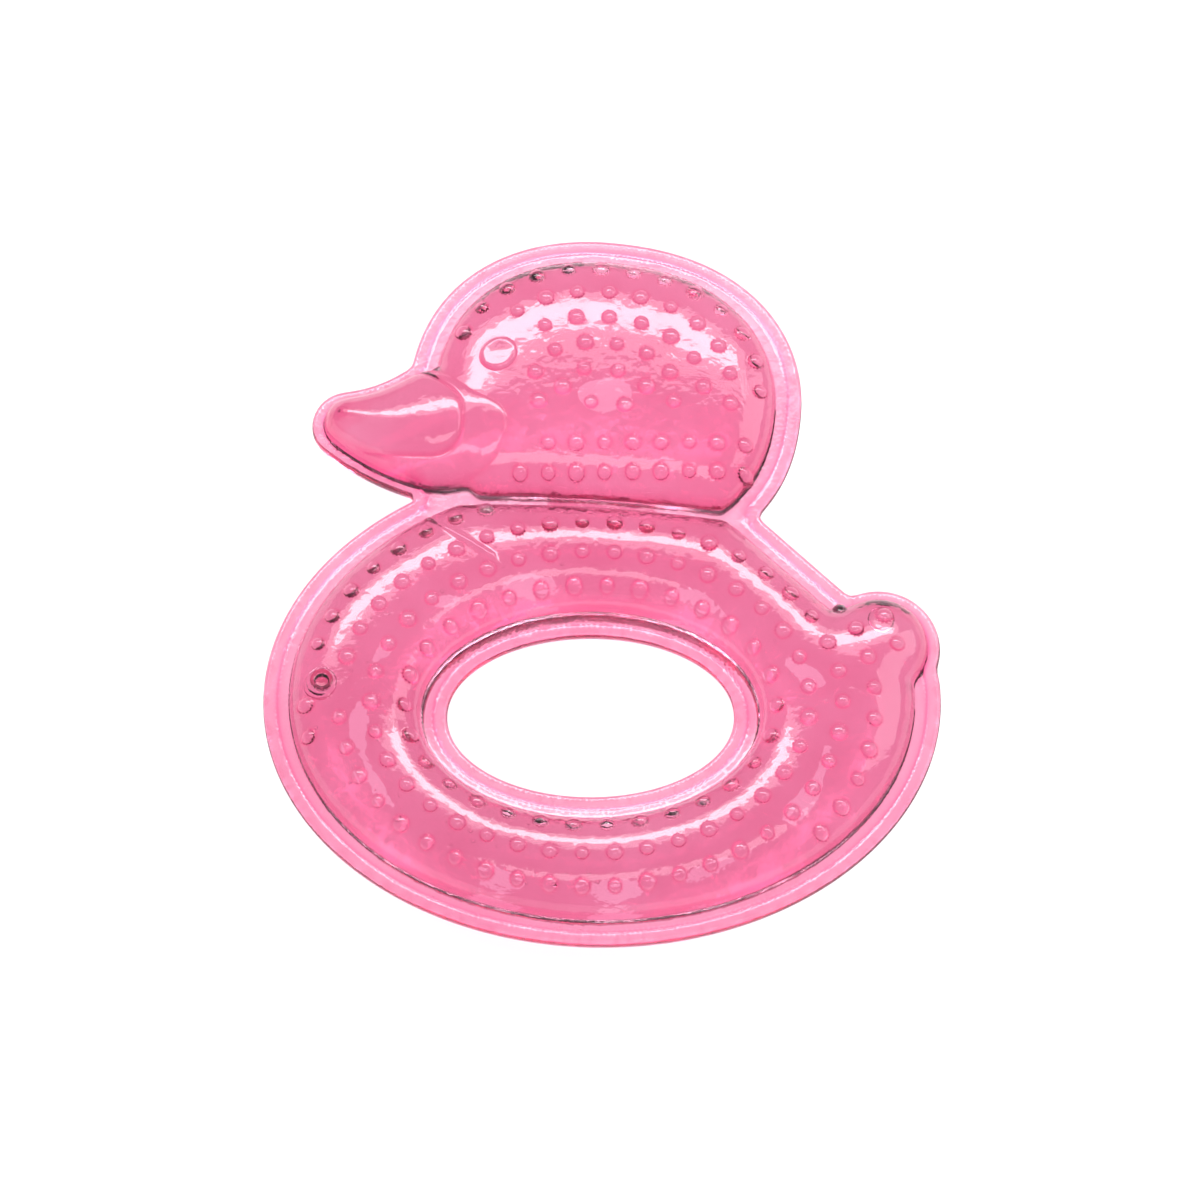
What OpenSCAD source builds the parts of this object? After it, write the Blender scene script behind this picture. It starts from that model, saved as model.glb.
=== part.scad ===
// Water-filled teething ring in the shape of a bath duck.
// Two thin half shells are welded round a flat rim, round the hand hole and across the neck,
// and the space between them is filled with water through a small plug.
// The front shell carries the massaging nubs, the eye and the plug; the back shell is plain.
// The toy lies on its back shell: face up along +Z, head along +Y, beak along -X.

/* [Body ring] */
// Width of the oval body, without the tail
body_w = 100.6; // [84:0.1:122]
// Length of the oval body, from the bottom edge to where its oval would close
body_l = 76.6; // [64:0.1:93]

/* [Hand hole] */
// Width of the hole
hole_w = 42.5; // [34:0.1:51]
// Length of the hole
hole_l = 25; // [20:0.1:30]
// Shift of the hole towards the breast
hole_shift = 1.7; // [0:0.1:4]
// Drop of the hole below the middle of the body oval
hole_drop = 2.5; // [0:0.1:5]

/* [Head] */
// Shift of the head away from the beak
head_shift = 0.4; // [0:0.1:2]
// Width of the head
head_w = 59; // [49:0.1:71]
// Length of the head
head_l = 51.8; // [43:0.1:63]
// Lean of the head, clockwise
head_lean = 8; // [0:1:15]
// Squareness of the head outline, where 2 is an ellipse
head_square = 2.2; // [2:0.1:3]
// Depth of the neck line below the top of the body oval
neck_drop = 6.9; // [5.8:0.1:8.3]
// Height of the middle of the head above the neck line
head_rise = 16; // [14:0.1:19]
// Radius of the gentle arc of the neck line
neck_bow = 258; // [200:1:400]

/* [Beak] */
// Radius of the beak at its tip
beak_tip_r = 5.5; // [4:0.1:6.6]
// Radius of the beak where it meets the face
beak_root_r = 11.3; // [9.4:0.1:13.6]
// Distance between the centres of the two radii
beak_len = 14; // [11:0.1:17]
// Rise of the beak tip over its root
beak_lift = 1; // [0:0.1:2]
// How far the sides of the beak bow down from straight
beak_bow = 0.8; // [0:0.1:1.4]
// How far the centre of the beak root lies inside the side of the head
beak_in = 5.1; // [4:0.1:6.5]

/* [Tail] */
// Radius of the tail tip
tail_r = 9.2; // [7.6:0.1:11.1]
// Height of the middle of the tail tip above the middle of the body
tail_rise = 8.2; // [6.8:0.1:9.9]
// Distance of the tail tip inside the side of the body oval
tail_in = 0; // [0:0.1:1]
// Slope of the straight back, from the neck down to the tail
back_slope = 43; // [38:1:48]
// Depth that the straight back takes off the body oval
back_cut = 7.1; // [5.8:0.1:8.6]

/* [Shells] */
// Width of the flat welded rim
rim_w = 3.9; // [3:0.1:4.7]
// Width of the rim round the beak and the tail tip
tip_rim_w = 1.8; // [1.4:0.1:2.2]
// Thickness of the rim of one half
rim_t = 1; // [0.8:0.1:1.3]
// Thickness of the moulded wall
wall = 1.2; // [0.9:0.1:1.5]
// Height of the cushions above the rim
cushion_h = 6.4; // [5.3:0.1:7.7]
// Width of the weld across the neck
weld_w = 1.8; // [1.4:0.1:2.4]
// Width of the water passage through the neck weld
duct_w = 16; // [10:1:22]
// Depth of the water passage in one half
duct_t = 0.4; // [0.3:0.1:0.5]

/* [Nubs] */
// Diameter of a massaging nub
nub_d = 2.3; // [1.8:0.1:2.8]
// Height of a nub
nub_h = 0.8; // [0.5:0.1:1]
// Distance between nubs and between rows
nub_pitch = 4.85; // [4:0.05:5.9]

/* [Eye] */
// Length of the oval eye
eye_l = 5.9; // [4.8:0.1:7]
// Width of the oval eye
eye_w = 5.2; // [4.3:0.1:6.2]
// Height of the eye above the face
eye_h = 0.8; // [0.5:0.1:1]
// Distance of the eye from the middle of the head, towards the beak
eye_fore = 15.9; // [13:0.1:18]
// Height of the eye above the middle of the head
eye_up = 5.4; // [4:0.1:7]

/* [Filling] */
// Diameter of the plug
plug_d = 2.4; // [2:0.1:2.9]
// Length of the plug under its head
plug_l = 2.6; // [2.1:0.1:3.2]
// Diameter of the head of the plug
plug_head_d = 3.4; // [3.2:0.1:4.1]
// Thickness of the head of the plug
plug_head_t = 0.6; // [0.4:0.1:0.8]
// Wall round and under the plug
boss_wall = 0.6; // [0.5:0.1:0.8]
// Play of the plug in its hole, all round
plug_play = 0.05; // [0.03:0.01:0.1]
// Gap left between the water and the walls
water_gap = 0.05; // [0.03:0.01:0.1]

/* [Hidden] */
far = 1000;

// Distance from o along direction a to the far side of an ellipse, or 0 where the ray misses it
function oval_far(c, rx, ry, o, a) =
    let(dx = cos(a) / rx, dy = sin(a) / ry, ox = (o.x - c.x) / rx, oy = (o.y - c.y) / ry)
    let(qa = dx * dx + dy * dy, qb = ox * dx + oy * dy, qc = ox * ox + oy * oy - 1)
    let(disc = qb * qb - qa * qc)
    disc < 0 ? 0 : (sqrt(disc) - qb) / qa;

// Distance from o, outside a circle, along direction a to its near side
function disc_near(c, r, o, a) =
    let(d = o - c, qb = d.x * cos(a) + d.y * sin(a), disc = qb * qb - d * d + r * r)
    disc < 0 || qb > 0 ? far : -qb - sqrt(disc);

// Distance from o along direction a to the line through p that faces along angle n
grazing = 0.02;
function line_hit(p, n, o, a) =
    cos(a - n) < grazing ? far : ((p.x - o.x) * cos(n) + (p.y - o.y) * sin(n)) / cos(a - n);

function polar(o, r, a) = [o.x + r * cos(a), o.y + r * sin(a)];

// Places in the plan, with the middle of the body oval at the origin
neck_rise = body_l / 2 - neck_drop;
hole_c = [-hole_shift, -hole_drop];
head_c = [head_shift, neck_rise + head_rise];
neck_apex_x = -18;
neck_c = [neck_apex_x, neck_rise - neck_bow];
root_c = [head_c.x - head_w / 2 + beak_in, neck_rise + beak_root_r];
tip_c = root_c + [-beak_len, beak_lift];
tail_c = [body_w / 2 - tail_r - tail_in, tail_rise];
back_n = 90 - back_slope;
back_d = norm([body_w / 2 * cos(back_n), body_l / 2 * sin(back_n)]) - back_cut;

// Outline of the body seen from the middle of the hole, moved in by e and held back by n at the neck
function body_r(a, e, n) = max(
    min(oval_far([0, 0], body_w / 2 - e, body_l / 2 - e, hole_c, a),
        oval_far(neck_c, neck_bow - n, neck_bow - n, hole_c, a),
        line_hit(polar([0, 0], back_d - e, back_n), back_n, hole_c, a)),
    let(r = tail_r - max(0, e - rim_w + tip_rim_w)) oval_far(tail_c, r, r, hole_c, a));

// Outline of the head seen from its middle, moved in by e and held back by n at the neck
function head_r(a, e, n) =
    let(u = abs(cos(a + head_lean)) / (head_w / 2 - e), v = abs(sin(a + head_lean)) / (head_l / 2 - e))
    min(pow(pow(u, head_square) + pow(v, head_square), -1 / head_square),
        disc_near(neck_c, neck_bow + n, head_c, a));

// Outline of the hole seen from its middle, moved out by e
function hole_r(a, e) =
    oval_far([0, 0], hole_w / 2 + e, hole_l / 2 + e, [0, 0], a);

// Outline of the beak, moved in by e: an arc at the root, an arc at the tip and bowed sides
beak_turn = asin((beak_root_r - beak_tip_r) / beak_len);
function sweep_arc(c, r, from, to, steps) =
    [for (i = [0:steps]) polar(c, r, from + (to - from) * i / steps)];
function bowed(a, b) = [for (t = [0.25:0.25:0.75]) a + (b - a) * t - [0, 4 * beak_bow * t * (1 - t)]];
function beak_pts(e, steps) =
    let(root = sweep_arc(root_c, beak_root_r - e, -90 - beak_turn, 90 + beak_turn, steps))
    let(tip = sweep_arc(tip_c, beak_tip_r - e, 90 + beak_turn, 270 - beak_turn, steps))
    concat(root, bowed(root[steps], tip[0]), tip, bowed(tip[steps], root[0]));

// Directions in which the outlines are worked out: closer together across the tail
tail_from = -4;
tail_to = 32;
body_turns = concat([for (a = [tail_from:3:tail_to - 3]) a], [for (a = [tail_to:6:354 + tail_from]) a]);
head_turns = [for (a = [0:9:351]) a];
beak_steps = 9;
function body_pts(e, n, turns = body_turns) = [for (a = turns) polar(hole_c, body_r(a, e, n), a)];
function head_pts(e, n, turns = head_turns) = [for (a = turns) polar(head_c, head_r(a, e, n), a)];
// The hollow is simpler than the outside
hollow_body_turns = [for (i = [0:2:len(body_turns) - 1]) body_turns[i]];
hollow_head_turns = [for (i = [0:2:len(head_turns) - 1]) head_turns[i]];
hollow_beak_steps = 5;

// The outline is centred over the origin, and its lowest point lies on the floor
plan = concat(body_pts(0, 0), head_pts(0, 0), beak_pts(0, beak_steps));
plan_x = [for (p = plan) p.x];
plan_y = [for (p = plan) p.y];
centre = [(min(plan_x) + max(plan_x)) / 2, (min(plan_y) + max(plan_y)) / 2];
plain_h = rim_t + cushion_h;

// Cross-section of a cushion: height share at s, from 0 at the foot to 1 at the crown
foot_curve = 2.2;
function swell(s) = pow(1 - pow(1 - s, foot_curve), 1 / foot_curve);
levels = [0, 0.12, 0.45, 1];
hollow_levels = [0, 0.2, 1];
shoulder = 9;

// Closed solid from a stack of rings of equal count: rings first to last, floor and top closed
module stack(rings, closed_ring) {
    n = len(rings[0]);
    m = len(rings);
    pts = [for (r = rings) each r];
    sides = [for (k = [0:(closed_ring ? m - 1 : m - 2)], i = [0:n - 1])
        let(j = (i + 1) % n, a = k * n, b = ((k + 1) % m) * n)
        each [[a + i, b + i, b + j], [a + i, b + j, a + j]]];
    ends = closed_ring ? [] : [[for (i = [0:n - 1]) i], [for (i = [n - 1:-1:0]) (m - 1) * n + i]];
    polyhedron(pts, concat(sides, ends));
}

// Cushion over a whole outline: rings move in from the foot, most of the way to the middle
most = 0.9;
module dome(pts, mid, h, reach, levels) {
    lifted = concat([[for (p = pts) [p.x, p.y, 0]]],
        [for (s = levels) [for (p = pts)
            let(q = p + (mid - p) * min(most, s * reach / norm(p - mid)))
            [q.x, q.y, rim_t + h * swell(s)]]]);
    stack(lifted, false);
}

// Cushion round the hole: an arch between the outer foot and the hole foot
module arch(e, n, h, turns, levels) {
    last = len(levels) - 1;
    shares = concat([for (s = levels) s / 2], [for (k = [1:last]) 1 - levels[last - k] / 2]);
    lifted = [for (t = shares) [for (a = turns)
        let(ro = body_r(a, e, n), ri = hole_r(a, e))
        let(q = polar(hole_c, ro + (ri - ro) * t, a))
        [q.x, q.y, rim_t + h * swell(1 - abs(1 - 2 * t))]]];
    floor_out = [for (p = lifted[0]) [p.x, p.y, 0]];
    floor_in = [for (p = lifted[len(lifted) - 1]) [p.x, p.y, 0]];
    stack(concat([floor_out], lifted, [floor_in]), true);
}

// The outside of all three cushions
beak_mid_fore = 2;
beak_mid = root_c - [beak_mid_fore, 0];
module cushions(beak_h) {
    arch(rim_w, weld_w / 2, cushion_h, body_turns, levels);
    dome(head_pts(rim_w, weld_w / 2), head_c, cushion_h, shoulder, levels);
    dome(beak_pts(tip_rim_w, beak_steps), beak_mid, beak_h, shoulder, levels);
}

// Space inside one half, the wall and a gap away from the outside, and the passage at the neck
module hollow(beak_h, gap) {
    e = wall + gap;
    head_foot = head_pts(rim_w + e, weld_w / 2 + e, hollow_head_turns);
    beak_foot = beak_pts(tip_rim_w + e, hollow_beak_steps);
    arch(rim_w + e, weld_w / 2 + e, cushion_h - e, hollow_body_turns, hollow_levels);
    dome(head_foot, head_c, cushion_h - e, shoulder, hollow_levels);
    dome(beak_foot, beak_mid, beak_h - e, shoulder, hollow_levels);
    translate([-duct_w / 2 + gap, neck_rise - weld_w - wall, 0])
        cube([duct_w - 2 * gap, 2 * (weld_w + wall), duct_t - gap]);
}

// Flat outline of the whole toy with the hand hole, its notches rounded
notch_r = 1.2;
notch_sides = 24;
tail_sides = 48;
module outline() {
    difference() {
        offset(r = -notch_r, $fn = notch_sides)
            offset(delta = notch_r) {
                polygon(body_pts(0, -weld_w));
                polygon(head_pts(0, -weld_w));
                polygon(beak_pts(0, beak_steps));
                translate(tail_c) circle(tail_r, $fn = tail_sides);
            }
        translate(hole_c) scale([hole_w / hole_l, 1]) circle(d = hole_l, $fn = len(body_turns));
    }
}

// Height of the body cushion above the rim at a point of the plan
function body_z(p) =
    let(d = p - hole_c, a = atan2(d.y, d.x), ro = body_r(a, rim_w, weld_w / 2), ri = hole_r(a, rim_w))
    let(t = (norm(d) - ri) / (ro - ri))
    t <= 0 || t >= 1 ? -1 : cushion_h * swell(1 - abs(2 * t - 1));

// Height of the head cushion above the rim at a point of the plan
function head_z(p) =
    let(d = p - head_c, room = head_r(atan2(d.y, d.x), rim_w, weld_w / 2) - norm(d))
    room <= 0 ? -1 : cushion_h * swell(min(1, room / shoulder));

// Even steps along a closed curve: running lengths, then the point at each whole step
function run(pts, i = 0, so_far = 0) = i >= len(pts) ? [so_far]
    : concat([so_far], run(pts, i + 1, so_far + norm(pts[(i + 1) % len(pts)] - pts[i])));
function at(pts, lens, l, i = 0) = lens[i + 1] >= l || i >= len(pts) - 1
    ? pts[i] + (pts[(i + 1) % len(pts)] - pts[i]) * (l - lens[i]) / (lens[i + 1] - lens[i])
    : at(pts, lens, l, i + 1);
function even(pts, pitch, start) =
    let(lens = run(pts), whole = lens[len(pts)], count = round(whole / pitch))
    [for (k = [0:count - 1]) at(pts, lens, (k + start) * whole / count)];

// Nub places on the body: rows round the hole, as far out as the cushion leaves room
row_steps = 60;
row_first = 2.4;
edge_room = 1.9;
plug_turn = 175;
plug_share = 0.25;
plug_at = let(ro = body_r(plug_turn, rim_w, weld_w / 2), ri = hole_r(plug_turn, rim_w))
    polar(hole_c, ro + (ri - ro) * plug_share, plug_turn);
function oval_row(e) = [for (i = [0:row_steps - 1])
    let(a = i * 360 / row_steps) hole_c + [(hole_w / 2 + e) * cos(a), (hole_l / 2 + e) * sin(a)]];
body_nubs = [for (row = [0:6])
    for (p = even(oval_row(rim_w + row_first + row * nub_pitch), nub_pitch, row % 2 / 2))
        let(a = atan2(p.y - hole_c.y, p.x - hole_c.x))
        if (body_r(a, rim_w, weld_w / 2) - norm(p - hole_c) > edge_room)
            if (norm(p - plug_at) > plug_d / 2 + boss_wall + nub_d / 2) p];

// Nub places on the head: arcs that follow its outline, over two straight rows along the neck
eye_at = head_c + [-eye_fore, eye_up];
head_closer = 0.65;
head_pitch = nub_pitch - head_closer;
lower_rows = 2;
lower_room = 2.2;
lower_first = neck_rise + weld_w / 2 + lower_room;
lower_top = lower_first + lower_rows * head_pitch;
function head_row(e) = [for (i = [0:row_steps - 1])
    let(a = i * 360 / row_steps) polar(head_c, head_r(a, e, -far / 2), a)];
beak_bare = 1.5;
function clear_of_face(p) =
    norm(p - eye_at) > eye_l / 2 + nub_d && norm(p - root_c) > beak_root_r + beak_bare;
arc_nubs = [for (row = [0:5])
    let(e = rim_w + row_first + row * head_pitch)
    if (e < min(head_w, head_l) / 2 - head_pitch / 2)
        for (p = even(head_row(e), nub_pitch, row % 2 / 2))
            if (p.y > lower_top && clear_of_face(p)) p];
neck_nubs = [for (row = [0:lower_rows - 1], k = [-3:6])
    let(p = [head_c.x + (k - 1) * head_pitch, lower_first + row * head_pitch])
    if (clear_of_face(p) && head_z(p) > 0) p];

// A nub: a low button with sloping sides, which start inside the wall
nub_sides = 6;
nub_top_share = 0.6;
nub_top_d = nub_top_share * nub_d;
sink = wall / 2;
nub_root_d = nub_d + (nub_d - nub_top_d) * sink / nub_h;
module nub(p, z) {
    translate([p.x, p.y, rim_t + z - sink])
        hull() cylinder(d1 = nub_root_d, d2 = nub_top_d, h = sink + nub_h, $fn = nub_sides);
}

module nubs() {
    for (p = body_nubs) nub(p, body_z(p));
    for (p = arc_nubs) nub(p, head_z(p));
    for (p = neck_nubs) nub(p, head_z(p));
}

// The eye: a leaning oval button with a bevelled edge
eye_lean = 35;
eye_side_share = 0.6;
eye_top_share = 0.8;
round_sides = 20;
module eye() {
    translate([eye_at.x, eye_at.y, rim_t + head_z(eye_at) - sink]) rotate([0, 0, eye_lean])
        scale([eye_l / eye_w, 1, 1]) hull() {
            cylinder(d = eye_w, h = sink + eye_h * eye_side_share, $fn = round_sides);
            cylinder(d = eye_w * eye_top_share, h = sink + eye_h, $fn = round_sides);
        }
}

// The plug is a short pin under a wider, shallow head, which lies in a spot face on the boss
plug_seat = rim_t + body_z(plug_at);
boss_d = plug_head_d + 2 * boss_wall;
boss_rise = plug_head_t / 3;
cut_h = 10;
module at_plug(z) {
    translate([plug_at.x, plug_at.y, plug_seat + z]) children();
}

module plug_hole() {
    at_plug(-plug_l - plug_play) cylinder(d = plug_d + 2 * plug_play, h = cut_h, $fn = round_sides);
    at_plug(0) cylinder(d = plug_head_d + 2 * plug_play, h = cut_h, $fn = round_sides);
}

module boss(grow) {
    at_plug(-plug_l - boss_wall - grow)
        cylinder(d = boss_d + 2 * grow, h = plug_l + boss_wall + grow + boss_rise, $fn = round_sides);
}

// One half shell in its own frame: the weld plane is z = 0
beak_front_h = cushion_h + nub_h;
module plain_shell(beak_h) {
    linear_extrude(rim_t) outline();
    cushions(beak_h);
}

module front_half() {
    difference() {
        union() {
            plain_shell(beak_front_h);
            nubs();
            eye();
            boss(0);
        }
        difference() {
            hollow(beak_front_h, 0);
            boss(0);
        }
        plug_hole();
    }
}

module back_half() {
    difference() {
        plain_shell(cushion_h);
        hollow(cushion_h, 0);
    }
}

// The toy rests on its back shell, over the middle of its outline
module place() {
    translate([-centre.x, -centre.y, plain_h]) children();
}

module front_shell() {
    color([0.95, 0.45, 0.65, 0.8]) place() front_half();
}

module back_shell() {
    color([0.93, 0.40, 0.60, 0.8]) place() mirror([0, 0, 1]) back_half();
}

// Water in both halves, a little clear of the walls, joined through the neck
module water() {
    color([0.98, 0.75, 0.85, 0.6]) place() difference() {
        union() {
            hollow(beak_front_h, water_gap);
            mirror([0, 0, 1]) hollow(cushion_h, water_gap);
        }
        boss(water_gap);
    }
}

module fill_plug() {
    color([0.90, 0.35, 0.58]) place() {
        at_plug(-plug_l) cylinder(d = plug_d, h = plug_l + plug_head_t / 2, $fn = round_sides);
        at_plug(0) cylinder(d = plug_head_d, h = plug_head_t, $fn = round_sides);
    }
}

front_shell();
back_shell();
water();
fill_plug();
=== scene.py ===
import bpy
import numpy as np
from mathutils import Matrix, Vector
from mathutils.geometry import delaunay_2d_cdt


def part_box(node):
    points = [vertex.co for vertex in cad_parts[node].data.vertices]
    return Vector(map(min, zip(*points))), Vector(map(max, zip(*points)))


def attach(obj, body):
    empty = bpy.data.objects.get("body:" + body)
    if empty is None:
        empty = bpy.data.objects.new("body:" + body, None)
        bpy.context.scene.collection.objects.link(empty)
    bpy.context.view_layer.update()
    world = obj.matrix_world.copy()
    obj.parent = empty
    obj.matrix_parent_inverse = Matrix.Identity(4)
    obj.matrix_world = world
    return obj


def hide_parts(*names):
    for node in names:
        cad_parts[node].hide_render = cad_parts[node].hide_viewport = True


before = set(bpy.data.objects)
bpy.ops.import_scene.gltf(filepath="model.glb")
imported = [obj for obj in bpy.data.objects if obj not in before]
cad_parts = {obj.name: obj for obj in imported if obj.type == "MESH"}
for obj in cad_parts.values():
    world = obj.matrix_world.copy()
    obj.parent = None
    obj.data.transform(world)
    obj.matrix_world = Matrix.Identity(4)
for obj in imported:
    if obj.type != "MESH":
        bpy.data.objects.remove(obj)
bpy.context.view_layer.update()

# ---------------------------------------------------------------------------
# The plan of a half shell. Both halves are vacuum moulded over the same form:
# a flat rim, a cushion round the hand hole and a cushion for head and bill,
# so the outline and the feet of the cushions are worked out once for both.
# ---------------------------------------------------------------------------
shell_low, shell_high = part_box("front_shell")
MM = (shell_high.x - shell_low.x) / 100.578
SEAM = shell_low.z
BODY_AT = np.array([-0.003, -17.602])
BODY_RADII = np.array([50.3, 38.3])
HOLE_AT = np.array([-1.703, -20.102])
HOLE_RADII = np.array([21.25, 12.5])
HEAD_AT = np.array([0.397, 29.798])
HEAD_RADII = np.array([29.5, 25.9])
HEAD_LEAN = np.radians(8)
HEAD_POWER = 2.2
NECK_AT = np.array([-18.0, 13.798 - 258])
NECK_RADIUS = 258.0
BACK_ANGLE = np.radians(47)
BACK_REACH = np.hypot(50.3 * np.cos(BACK_ANGLE), 38.3 * np.sin(BACK_ANGLE)) - 7.1
TAIL_AT = np.array([41.097, -9.402])
TAIL_RADIUS = 9.2
BILL_ROOT = np.array([-24.003, 25.098])
BILL_TIP = np.array([-38.003, 26.098])
BILL_RADII = (11.3, 5.5)
BILL_BOW = 0.8
RIM = 3.9
TIP_RIM = 1.8
WELD = 1.8


def far_side(at, radii, start, angle):
    """Distance from start to the far side of an ellipse: the larger root of the ray's quadratic
    in units of the ellipse's own radii, or 0 where the ray passes by."""
    ray = np.stack([np.cos(angle), np.sin(angle)], -1) / radii
    away = (start - at) / radii
    a, b, c = (ray * ray).sum(-1), ray @ away, away @ away - 1
    inside = b * b - a * c
    return np.where(inside < 0, 0, (np.sqrt(np.maximum(inside, 0)) - b) / a)


def body_reach(angle, inset, hold):
    """Outline of the body from the middle of the hand hole: the oval, cut by the neck arc and
    the straight back, joined with the round tail."""
    neck = NECK_RADIUS - hold
    facing = np.cos(angle - BACK_ANGLE)
    back_line = BODY_AT @ [np.cos(BACK_ANGLE), np.sin(BACK_ANGLE)] + BACK_REACH - inset
    gap = back_line - HOLE_AT @ [np.cos(BACK_ANGLE), np.sin(BACK_ANGLE)]
    back = np.where(facing < 0.02, 1e3, gap / np.maximum(facing, 0.02))
    oval = far_side(BODY_AT, BODY_RADII - inset, HOLE_AT, angle)
    oval = np.minimum(np.minimum(oval, far_side(NECK_AT, np.array([neck, neck]), HOLE_AT, angle)), back)
    tail = TAIL_RADIUS - max(0, inset - RIM + TIP_RIM)
    return np.maximum(oval, far_side(TAIL_AT, np.array([tail, tail]), HOLE_AT, angle))


def dome_reach(angle, inset):
    """Outline of the round head from its middle: a leaning superellipse."""
    u = np.abs(np.cos(angle + HEAD_LEAN)) / (HEAD_RADII[0] - inset)
    v = np.abs(np.sin(angle + HEAD_LEAN)) / (HEAD_RADII[1] - inset)
    return (u**HEAD_POWER + v**HEAD_POWER) ** (-1 / HEAD_POWER)


def head_reach(angle, inset, hold):
    """Outline of the head with its bill: the round head cut by the near side of the neck arc,
    joined with the bill, which is a row of discs that shrink towards its tip."""
    away = HEAD_AT - NECK_AT
    along = away[0] * np.cos(angle) + away[1] * np.sin(angle)
    inside = along**2 - away @ away + (NECK_RADIUS + hold) ** 2
    met = (inside > 0) & (along < 0)
    neck = np.where(met, -along - np.sqrt(np.maximum(inside, 0)), 1e3)
    reach = np.minimum(dome_reach(angle, inset), neck)
    bill_inset = max(0, inset - RIM + TIP_RIM)
    for share in np.linspace(0, 1, 41):
        at = BILL_ROOT + (BILL_TIP - BILL_ROOT) * share
        at = at - np.array([0, 4 * BILL_BOW * share * (1 - share)])
        radius = BILL_RADII[0] + (BILL_RADII[1] - BILL_RADII[0]) * share - bill_inset
        reach = np.maximum(reach, far_side(at, np.array([radius, radius]), HEAD_AT, angle))
    return reach


def even_loop(points, step, softness):
    """Closed curve in even steps, with each point averaged with its neighbours under a bell
    curve of width softness, which rounds the corners."""
    fine = 0.1
    loop = np.vstack([points, points[:1]])
    run = np.append(0, np.cumsum(np.hypot(*np.diff(loop, axis=0).T)))
    count = int(run[-1] / fine)
    at = np.arange(count) * run[-1] / count
    curve = np.interp(at, run, loop[:, 0]) + 1j * np.interp(at, run, loop[:, 1])
    waves = np.fft.fftfreq(count, run[-1] / count)
    curve = np.fft.ifft(np.fft.fft(curve) * np.exp(-2 * (np.pi * waves * softness) ** 2))
    loop = np.append(curve, curve[:1])
    run = np.append(0, np.cumsum(np.abs(np.diff(loop))))
    count = int(round(run[-1] / step))
    at = np.arange(count) * run[-1] / count
    return np.stack([np.interp(at, run, loop.real), np.interp(at, run, loop.imag)], 1)


def polar(at, reach, angle):
    return at + np.stack([reach * np.cos(angle), reach * np.sin(angle)], -1)


TURN = np.linspace(0, 2 * np.pi, 7200, endpoint=False)


def outline_loop(step):
    """Outer edge of the rim: the head's outline where it lies outside the body's, then the
    body's where it lies outside the head's, joined with rounded notches."""
    head = polar(HEAD_AT, head_reach(TURN, 0, -WELD), TURN)
    body = polar(HOLE_AT, body_reach(TURN, 0, -WELD), TURN)
    off = head - HOLE_AT
    head_free = np.hypot(*off.T) > body_reach(np.arctan2(off[:, 1], off[:, 0]), 0, -WELD)
    off = body - HEAD_AT
    body_free = np.hypot(*off.T) > head_reach(np.arctan2(off[:, 1], off[:, 0]), 0, -WELD)
    parts = []
    for points, free in ((head, head_free), (body, body_free)):
        start = np.flatnonzero(free & ~np.roll(free, 1))[0]
        parts.append(np.roll(points, -start, 0)[np.roll(free, -start)])
    return even_loop(np.vstack(parts), step, 0.7)


def hole_loop(inset, step):
    points = HOLE_AT + (HOLE_RADII + inset) * np.stack([np.cos(TURN), np.sin(TURN)], 1)
    return even_loop(points, step, 0.1)


OUTLINE = outline_loop(0.8)
HOLE = hole_loop(0, 0.8)
HOLE_FOOT = hole_loop(RIM, 0.8)
BODY_FOOT = even_loop(polar(HOLE_AT, body_reach(TURN, RIM, WELD / 2), TURN), 0.8, 0.8)
HEAD_FOOT = even_loop(polar(HEAD_AT, head_reach(TURN, RIM, WELD / 2), TURN), 0.8, 0.7)


# ---------------------------------------------------------------------------
# Height of the moulded skin over the plan. Both halves have the rim and the two
# cushions; the front one also has the bill, the eye, a wrinkle at the chest and
# the massaging nubs, all moulded in one piece with it.
# ---------------------------------------------------------------------------
RIM_T = 1.0
RIM_EDGE = 0.75
RIM_STEP = 0.12
RIM_STEP_AT = 2.1
FILLET = 0.25
WAVE_H = 0.012
CUSHION_H = 6.4
CUSHION_POWER = 2.3
HEAD_DOME_POWER = 2.5
EYE_AT = np.array([-15.503, 35.198])
EYE_RADII = np.array([2.95, 2.6])
EYE_LEAN = np.radians(35)
BILL_BASE = [(-30.4, 35.2), (-27.9, 35.3), (-24.4, 33.1), (-21.9, 31.3), (-19.2, 29.1), (-16.4, 27.9)]
BILL_BASE += [(-14.6, 26.4), (-14.1, 23.8), (-15.1, 20.3), (-17.0, 17.6), (-20.6, 16.1), (-26.1, 15.2)]
BILL_BASE += [(-31.5, 16.6), (-37.5, 19.6), (-42.6, 23.2), (-42.8, 28.3), (-38.8, 31.4), (-34.5, 33.0)]
BILL_TOP = [(-26.3, 32.9), (-24.2, 31.2), (-22.0, 29.3), (-20.9, 27.4), (-20.7, 24.6), (-21.1, 21.8)]
BILL_TOP += [(-22.8, 19.9), (-25.0, 19.2), (-28.6, 19.4), (-32.6, 19.9), (-36.1, 20.9), (-39.5, 22.6)]
BILL_TOP += [(-42.8, 24.2), (-43.0, 28.3), (-38.8, 31.4), (-34.5, 33.0), (-30.0, 34.4)]
CREASE = np.array([(-28.3, 12.7), (-23.7, 7.9), (-19.7, 5.2), (-16.2, 2.8), (-14.9, 0.7)])
PLUG_AT = np.array([-41.43, -16.63])


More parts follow.
